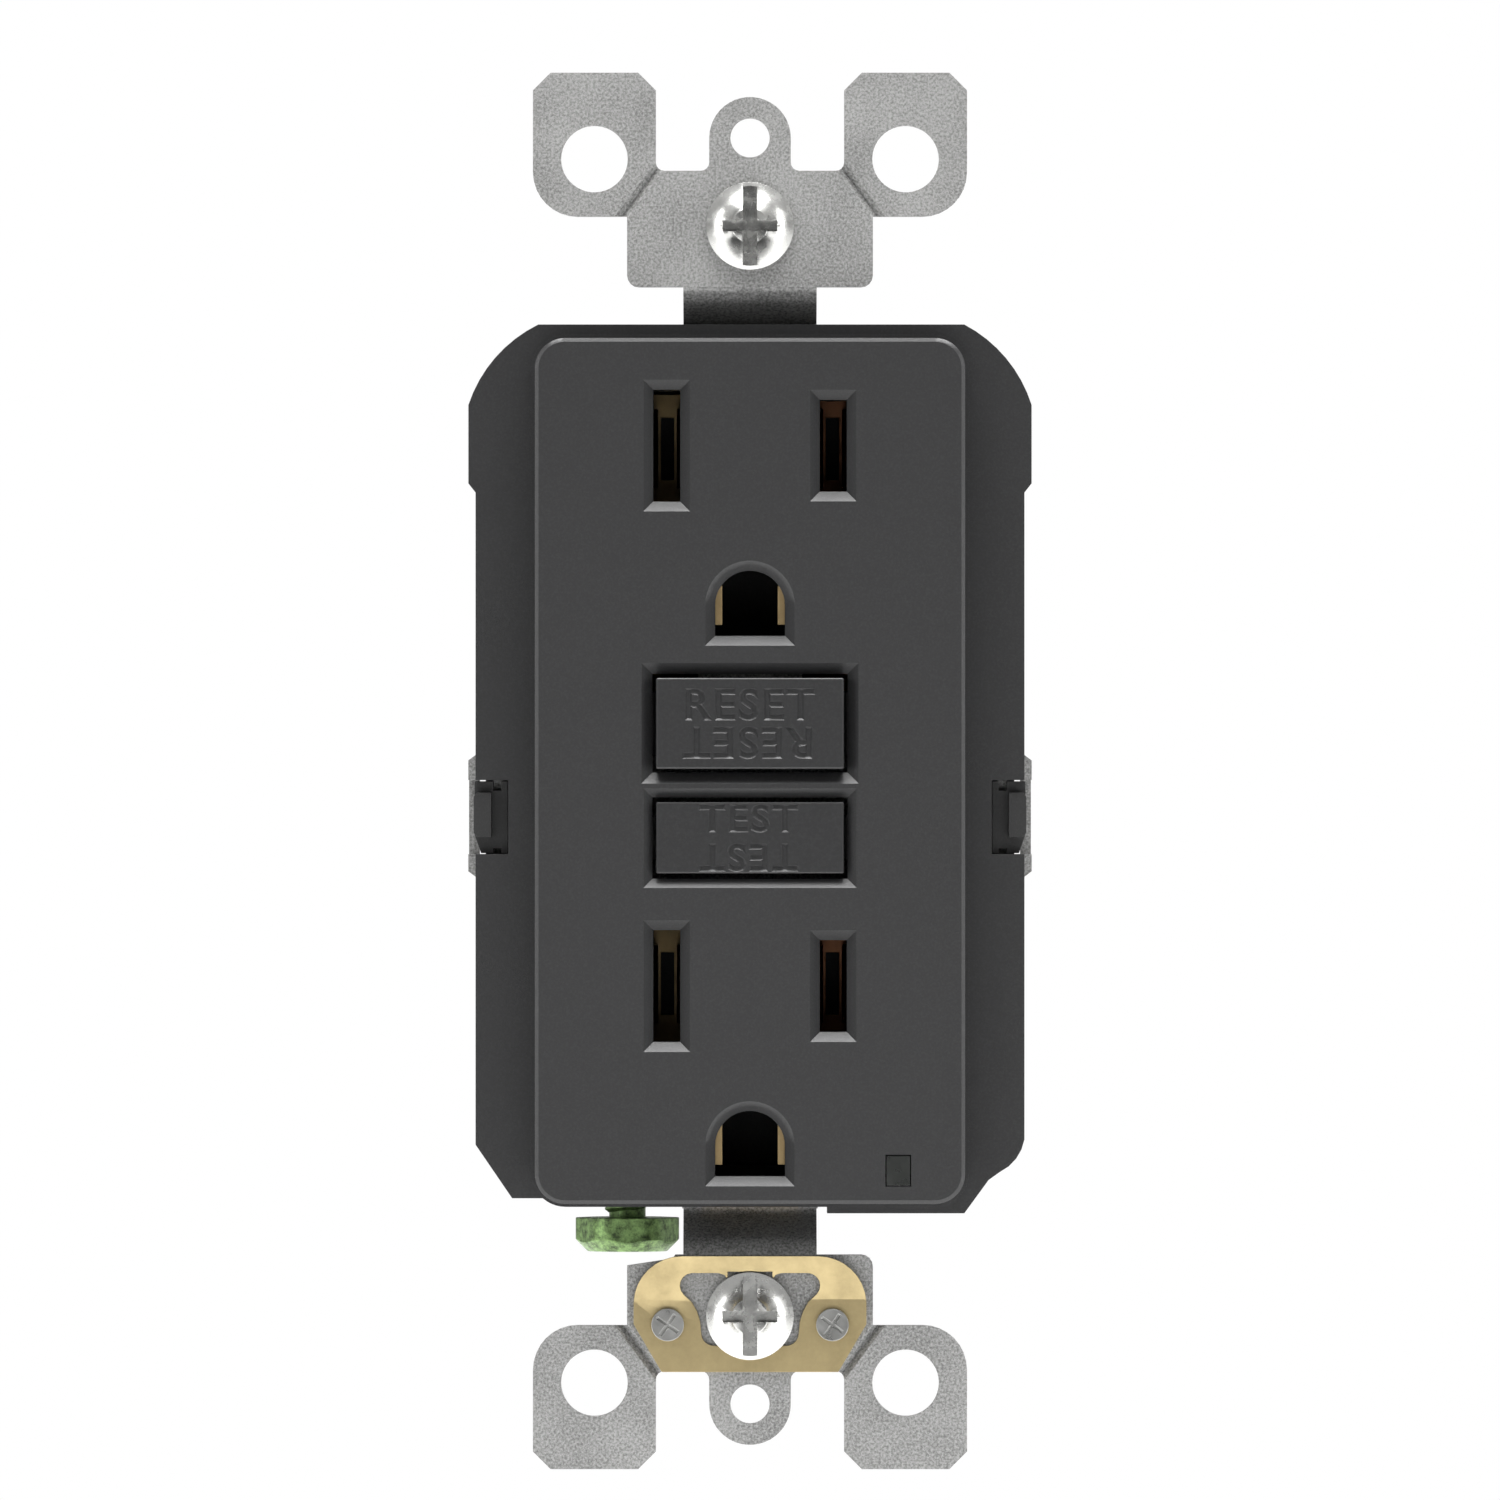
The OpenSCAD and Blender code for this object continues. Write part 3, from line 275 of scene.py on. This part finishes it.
def board(name, colour):
    """Solder mask over copper tracks."""
    n = Nodes(name)
    n.fixed(Metallic=0.0, Coat_Weight=0.5, Coat_Roughness=0.2)
    cells = n.add("ShaderNodeTexBrick")
    cells.inputs["Scale"].default_value = 1.0
    cells.inputs["Brick Width"].default_value = 3.2 * MM
    cells.inputs["Row Height"].default_value = 1.1 * MM
    cells.inputs["Mortar Size"].default_value = 0.16 * MM
    turned = n.add("ShaderNodeMapping")
    turned.inputs["Rotation"].default_value = (math.pi / 2, 0, 0)
    n.link(n.place, turned.inputs["Vector"])
    n.link(turned.outputs["Vector"], cells.inputs["Vector"])
    n.colour_between(cells.outputs["Fac"], shade(colour, 1.35), shade(colour, 0.8), 0.2, 0.8)
    n.link(n.spread(n.noise(0.5 * MM, 3), 0.32, 0.42), n.shader.inputs["Roughness"])
    n.bump([(cells.outputs["Fac"], 0.03 * MM, 0.4)])
    return n.material


LOOKS = {
    "black_thermoplastic": (plastic, (0.0117, 0.0117, 0.0121), 0.36),
    "button_thermoplastic": (plastic, (0.0112, 0.0112, 0.0116), 0.33, 0.3 * MM),
    "housing_thermoplastic": (plastic, (0.012, 0.012, 0.012), 0.42),
    "frame_thermoplastic": (plastic, (0.012, 0.012, 0.0125), 0.5),
    "galvanised_steel": (galvanised, (0.258, 0.258, 0.253), 0.42),
    "rivet_steel": (plated, (0.30, 0.30, 0.29), 0.3),
    "spring_steel": (sheet_metal, (0.5, 0.5, 0.5), 0.28),
    "clip_brass": (sheet_metal, (0.335, 0.27, 0.145), 0.46, (0.08, 1, 1)),
    # painted shade: the contacts' brass and copper are coloured darker than the terminals' brass,
    # to stand for the shade deep inside the slots
    "contact_brass": (sheet_metal, (0.34, 0.25, 0.13), 0.4),
    "contact_copper": (sheet_metal, (0.32, 0.15, 0.08), 0.4),
    "terminal_brass": (sheet_metal, (0.56, 0.42, 0.20), 0.33),
    "terminal_nickel": (sheet_metal, (0.46, 0.455, 0.43), 0.33),
    "silver_contact": (plated, (0.78, 0.78, 0.76), 0.3),
    "screw_nickel": (plated, (0.46, 0.46, 0.445), 0.24),
    "green_screw": (dyed, (0.10, 0.165, 0.055), 0.38),
    "winding_copper": (winding, (0.60, 0.24, 0.10)),
    "board_green": (board, (0.02, 0.15, 0.06)),
    "fibre_brown": (plastic, (0.17, 0.075, 0.04), 0.7, 0.15 * MM, 0.03 * MM),
    "core_grey": (lacquer, (0.15, 0.145, 0.135), 0.5),
    "core_green": (lacquer, (0.06, 0.15, 0.08), 0.45),
    "bobbin_nylon": (plastic, (0.68, 0.65, 0.55), 0.45),
    "varistor_blue": (lacquer, (0.02, 0.08, 0.30), 0.3),
    "capacitor_yellow": (lacquer, (0.58, 0.38, 0.05), 0.35),
    "component_black": (lacquer, (0.02, 0.02, 0.02), 0.45, 0.1),
    "resistor_tan": (lacquer, (0.50, 0.37, 0.22), 0.4),
    "lamp_green": (lacquer, (0.08, 0.5, 0.12), 0.2, 0.8),
    "lens_smoke": (lacquer, (0.006, 0.007, 0.006), 0.3, 0.3),
}
MATERIALS = {slot: look[0](slot, *look[1:]) for slot, look in LOOKS.items()}


def give_material(obj, slot):
    obj.data.materials.clear()
    obj.data.materials.append(MATERIALS[slot])
    for polygon in obj.data.polygons:
        polygon.material_index = 0


# ---------------------------------------------------------------- refined meshes

def clean_copy(node):
    """A welded copy of a CAD node's mesh, its flat areas merged into whole faces."""
    mesh = frame["nodes"][node].data.copy()
    bm = bmesh.new()
    bm.from_mesh(mesh)
    bmesh.ops.remove_doubles(bm, verts=bm.verts, dist=WELD)
    bmesh.ops.dissolve_limit(
        bm, angle_limit=FLAT_ANGLE, verts=bm.verts, edges=bm.edges,
        use_dissolve_boundaries=False,
    )
    return bm, mesh


def shown(node, bm, mesh):
    """Turns a finished bmesh into the piece that stands for a CAD node."""
    bm.to_mesh(mesh)
    bm.free()
    mesh.name = "shape_" + node
    piece = bpy.data.objects.new("shape_" + node, mesh)
    scene.collection.objects.link(piece)
    mesh.shade_smooth()
    mesh.set_sharp_from_angle(angle=SHARP_ANGLE)
    give_material(piece, slot_of[node])
    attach(piece, body_of[node])
    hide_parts(node)
    return piece


def soften(piece, width, segments=2):
    """Rounds a piece's sharp edges by width metres."""
    bevel = piece.modifiers.new("edges", "BEVEL")
    bevel.width = width
    bevel.segments = segments
    bevel.limit_method = "ANGLE"
    bevel.angle_limit = BEVEL_ANGLE
    bevel.use_clamp_overlap = True
    bevel.harden_normals = True
    weighted = piece.modifiers.new("normals", "WEIGHTED_NORMAL")
    weighted.keep_sharp = True
    weighted.weight = 100
    return piece


def chamfer(bm, chosen, width):
    """Chamfers the edges that chosen(edge) picks."""
    edges = [e for e in bm.edges if len(e.link_faces) == 2 and chosen(e)]
    bmesh.ops.bevel(
        bm, geom=edges, offset=width, offset_type="OFFSET", segments=1, profile=0.5,
        affect="EDGES", clamp_overlap=True, loop_slide=False,
    )


def front_cover():
    """The cover with a shallow bevel round its face, wider than it is deep."""
    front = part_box("front_cover")[0].y
    bm, mesh = clean_copy("front_cover")

    def outside(vert):
        return abs(vert.co.x) > RIM_HALF_WIDTH or abs(vert.co.z) > RIM_HALF_HEIGHT

    def face_rim(edge):
        return all(abs(v.co.y - front) < NEAR and outside(v) for v in edge.verts)

    chamfer(bm, face_rim, RIM_WIDTH)
    for vert in bm.verts:
        if outside(vert) and vert.co.y < front + RIM_WIDTH + NEAR:
            vert.co.y = front + (vert.co.y - front) * RIM_DEPTH / RIM_WIDTH
    cover = shown("front_cover", bm, mesh)
    for polygon in cover.data.polygons:
        polygon.use_smooth = polygon.normal.y > -0.9999
    soften(cover, 0.12 * MM)


def refined(node, width, segments=2):
    """A CAD node's shape with its sharp edges rounded by width metres."""
    bm, mesh = clean_copy(node)
    return soften(shown(node, bm, mesh), width, segments)


def evaluated_mesh(obj):
    """An object's mesh with its modifiers applied."""
    bpy.context.view_layer.update()
    graph = bpy.context.evaluated_depsgraph_get()
    return bpy.data.meshes.new_from_object(obj.evaluated_get(graph))


def carve(piece, cutters, slot):
    """Cuts closed shapes, drawn in millimetres, out of a piece whose edges are already rounded."""
    mesh = evaluated_mesh(piece)
    mesh.transform(Matrix.Scale(1 / MM, 4))
    large = bpy.data.objects.new("large", mesh)
    scene.collection.objects.link(large)
    for cutter in cutters:
        cut = large.modifiers.new("cut", "BOOLEAN")
        cut.operation = "DIFFERENCE"
        cut.solver = "EXACT"
        cut.object = cutter
    carved = evaluated_mesh(large)
    bm = bmesh.new()
    bm.from_mesh(carved)
    bmesh.ops.triangulate(bm, faces=bm.faces)
    bm.transform(Matrix.Scale(MM, 4))
    bm.to_mesh(carved)
    bm.free()
    for helper in (large, *cutters):
        bpy.data.objects.remove(helper)
    for name in ("custom_normal", "sharp_edge"):
        if name in carved.attributes:
            carved.attributes.remove(carved.attributes[name])
    carved.shade_flat()
    piece.modifiers.clear()
    piece.data = carved
    give_material(piece, slot)


def word_cutter(words, place, height, width, turned):
    """Lettering as a cutter in millimetres: widest at the surface, sloping down to its floor."""
    curve = bpy.data.curves.new("letters", "FONT")
    curve.body = words
    curve.size = height / CAPITAL_SHARE
    curve.align_x = "CENTER"
    curve.align_y = "CENTER"
    curve.extrude = LETTER_DEPTH
    curve.bevel_depth = LETTER_DEPTH
    curve.bevel_resolution = 0
    curve.offset = LETTER_THINNING
    curve.resolution_u = 4
    curve.space_character = LETTER_SPACING
    text = bpy.data.objects.new("letters", curve)
    scene.collection.objects.link(text)
    mesh = evaluated_mesh(text)
    bpy.data.objects.remove(text)
    bm = bmesh.new()
    bm.from_mesh(mesh)
    bmesh.ops.remove_doubles(bm, verts=bm.verts, dist=0.001)
    bmesh.ops.recalc_face_normals(bm, faces=bm.faces)
    xs = [v.co.x for v in bm.verts]
    stretch = width / (max(xs) - min(xs))
    turn = -1 if turned else 1
    for v in bm.verts:
        x, up, out = v.co
        v.co = (
            place[0] + turn * x * stretch, place[1] - out - LETTER_DEPTH, place[2] + turn * up,
        )
    bm.to_mesh(mesh)
    bm.free()
    cutter = bpy.data.objects.new("letters", mesh)
    scene.collection.objects.link(cutter)
    return cutter


def engraved(node, words, rise, height, width):
    """A button with its word engraved twice in the front, upright above and upside down below."""
    low, high = (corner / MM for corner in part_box(node))
    middle = (low.z + high.z) / 2
    piece = refined(node, BUTTON_EDGE, 3)
    cutters = [
        word_cutter(words, (LETTER_X, low.y, middle + lift), height, width, lift < 0)
        for lift in (rise, -rise)
    ]
    carve(piece, cutters, slot_of[node])


def spring(node):
    """A spring shown as a welded copy of its CAD shape, with a mesh of its own."""
    bm, mesh = clean_copy(node)
    piece = shown(node, bm, mesh)
    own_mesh(piece)


def thread(node, start, direction, length, minor, major):
    """A V-shaped ridge wound about an axis, riding with the screw that it belongs to."""
    along = Vector(direction)
    side = along.orthogonal().normalized()
    other = along.cross(side)
    bm = bmesh.new()
    rings = []
    count = int(length / PITCH_32 * THREAD_STEPS)
    for i in range(count + 1):
        angle = 2 * math.pi * i / THREAD_STEPS
        out = side * math.cos(angle) + other * math.sin(angle)
        rise = PITCH_32 * i / THREAD_STEPS
        taper = min(1.0, 3 * i / THREAD_STEPS, (count - i) / THREAD_STEPS)
        crest = minor + (major - minor) * taper
        foot = minor * FOOT_SINK
        section = (
            (foot, -FOOT_HALF), (crest, -CREST_HALF), (crest, CREST_HALF), (foot, FOOT_HALF),
        )
        rings.append([
            bm.verts.new(Vector(start) + out * r + along * (rise + k * PITCH_32))
            for r, k in section
        ])
    for a, b in zip(rings, rings[1:]):
        for k in range(4):
            bm.faces.new((a[k], a[(k + 1) % 4], b[(k + 1) % 4], b[k]))
    bm.faces.new(rings[0][::-1])
    bm.faces.new(rings[-1])
    bmesh.ops.recalc_face_normals(bm, faces=bm.faces)
    mesh = bpy.data.meshes.new("thread_" + node)
    bm.to_mesh(mesh)
    bm.free()
    obj = bpy.data.objects.new("thread_" + node, mesh)
    scene.collection.objects.link(obj)
    mesh.shade_smooth()
    mesh.set_sharp_from_angle(angle=THREAD_SHARP_ANGLE)
    give_material(obj, slot_of[node])
    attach(obj, body_of[node])


def threaded_screw(node, axis, start, end, minor, major, width):
    """A screw whose plain CAD shank is thinned to the thread's root and wound with a thread."""
    low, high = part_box(node)
    centre = (low + high) / 2
    bm, mesh = clean_copy(node)
    across = [k for k in range(3) if k != axis]
    for vert in bm.verts:
        if min(start, end) - 0.02 * MM < vert.co[axis] < max(start, end) + 0.02 * MM:
            away = [vert.co[k] - centre[k] for k in across]
            if abs(math.hypot(*away) - major) < 0.05 * MM:
                for k, d in zip(across, away):
                    vert.co[k] = centre[k] + d * minor / major
    soften(shown(node, bm, mesh), width)
    place = centre.copy()
    place[axis] = start + math.copysign(0.46 * PITCH_32, end - start)
    direction = [0, 0, 0]
    direction[axis] = math.copysign(1, end - start)
    length = abs(end - start) - PITCH_32
    thread(node, place, direction, length, minor, major)


front_cover()
engraved("reset_button", "RESET", 1.33, 2.25, 9.9)
engraved("test_button", "TEST", 1.38, 1.95, 7.6)
spring(
    "reset_spring"
)
spring(
    "test_spring"
)
spring(
    "plunger_spring",
)
EDGE_WIDTHS_MM = {
    "rear_housing": 0.15, "middle_frame": 0.1, "mounting_strap": 0.1, "self_grounding_clip": 0.05,
    "clip_rivets": 0.06, "ground_contact_upper": 0.06, "ground_contact_lower": 0.06,
    "hot_receptacle_contact": 0.05, "neutral_receptacle_contact": 0.05,
    "retainer_top": 0.1, "retainer_bottom": 0.1, "led_light_pipe": 0.08, "housing_screws": 0.05,
    "line_hot_terminal": 0.06, "line_neutral_terminal": 0.06, "load_hot_terminal": 0.06,
    "load_neutral_terminal": 0.06, "line_hot_clamp": 0.08, "line_neutral_clamp": 0.08,
    "load_hot_clamp": 0.08, "load_neutral_clamp": 0.08,
}
for node, width in EDGE_WIDTHS_MM.items():
    refined(node, width * MM)

for end in ("top", "bottom"):
    threaded_screw("mounting_screw_" + end, 1, *MOUNTING_THREAD, 0.08 * MM)
threaded_screw("ground_screw", 2, *GROUND_THREAD, 0.12 * MM)
outer, inner, *radii = TERMINAL_THREAD
for pole, side in (("hot", 1), ("neutral", -1)):
    for supply in ("line", "load"):
        threaded_screw(f"{supply}_{pole}_screw", 0, side * outer, side * inner, *radii, 0.08 * MM)

for node, obj in frame["nodes"].items():
    give_material(obj, slot_of[node])


# ---------------------------------------------------------------- light, floor and camera

def area_light(name, place, width, height, watts):
    """A rectangular lamp that points at the origin."""
    light = bpy.data.lights.new(name, "AREA")
    light.shape = "RECTANGLE"
    light.size = width
    light.size_y = height
    light.energy = watts
    obj = bpy.data.objects.new(name, light)
    scene.collection.objects.link(obj)
    obj.location = place
    aim = Vector((0, 0, 0)) - Vector(place)
    obj.rotation_euler = aim.to_track_quat("-Z", "Y").to_euler()


area_light("key_above", (0.0, -0.32, 1.4), 1.6, 1.0, 75)
area_light("strip_left", (-0.95, -0.55, 0.1), 0.12, 1.0, 4)
area_light("strip_right", (0.95, -0.55, 0.1), 0.12, 1.0, 4)


def studio_world():
    """White behind the object; for reflections a grey room, bright overhead and dark in front."""
    world = bpy.data.worlds.new("white_studio")
    world.use_nodes = True
    tree = world.node_tree
    room = tree.nodes["Background"]
    direction = tree.nodes.new("ShaderNodeTexCoord")
    split = tree.nodes.new("ShaderNodeSeparateXYZ")
    ramp = tree.nodes.new("ShaderNodeValToRGB")
    height = tree.nodes.new("ShaderNodeMapRange")
    height.inputs["From Min"].default_value = -1
    tree.links.new(direction.outputs["Generated"], split.inputs["Vector"])
    tree.links.new(split.outputs["Z"], height.inputs["Value"])
    tree.links.new(height.outputs["Result"], ramp.inputs["Fac"])
    dark_front = tree.nodes.new("ShaderNodeMapRange")
    dark_front.interpolation_type = "SMOOTHSTEP"
    dark_front.inputs["From Min"].default_value = -0.99
    dark_front.inputs["From Max"].default_value = -0.88
    dark_front.inputs["To Min"].default_value = 0.05
    tree.links.new(split.outputs["Y"], dark_front.inputs["Value"])
    tree.links.new(dark_front.outputs["Result"], room.inputs["Strength"])
    tree.links.new(ramp.outputs["Color"], room.inputs["Color"])
    stops = ramp.color_ramp.elements
    for place, level in ((0.3, 0.42), (0.5, 0.42), (0.75, 0.75)):
        stops.new(place).color = (level, level, level, 1)
    stops[0].color = (0.34, 0.34, 0.34, 1)
    stops[-1].color = (1, 1, 1, 1)
    backdrop = tree.nodes.new("ShaderNodeBackground")
    backdrop.inputs["Color"].default_value = (1, 1, 1, 1)
    seen = tree.nodes.new("ShaderNodeLightPath")
    mix = tree.nodes.new("ShaderNodeMixShader")
    tree.links.new(seen.outputs["Is Camera Ray"], mix.inputs["Fac"])
    tree.links.new(room.outputs["Background"], mix.inputs[1])
    tree.links.new(backdrop.outputs["Background"], mix.inputs[2])
    tree.links.new(mix.outputs["Shader"], tree.nodes["World Output"].inputs["Surface"])
    return world


scene.world = studio_world()
scene.view_settings.view_transform = "Standard"

bpy.ops.mesh.primitive_plane_add(size=FLOOR_SIZE, location=(0, 0, FLOOR_Z))
floor = bpy.context.object
floor.name = "floor"
pale = Nodes("pale_floor")
pale.fixed(Roughness=0.9)
pale.colour_between(pale.noise(0.4, 2), (0.86, 0.86, 0.86), (0.9, 0.9, 0.9))
floor.data.materials.append(pale.material)

lens = bpy.data.cameras.new("camera")
lens.sensor_width = SENSOR_WIDTH
lens.lens = SENSOR_WIDTH * CAMERA_DISTANCE / VIEW_WIDTH
lens.clip_start = 0.05
lens.clip_end = 50
camera = bpy.data.objects.new("camera", lens)
scene.collection.objects.link(camera)
camera.location = (0, -CAMERA_DISTANCE, CAMERA_Z)
camera.rotation_euler = (math.pi / 2, 0, 0)
scene.camera = camera
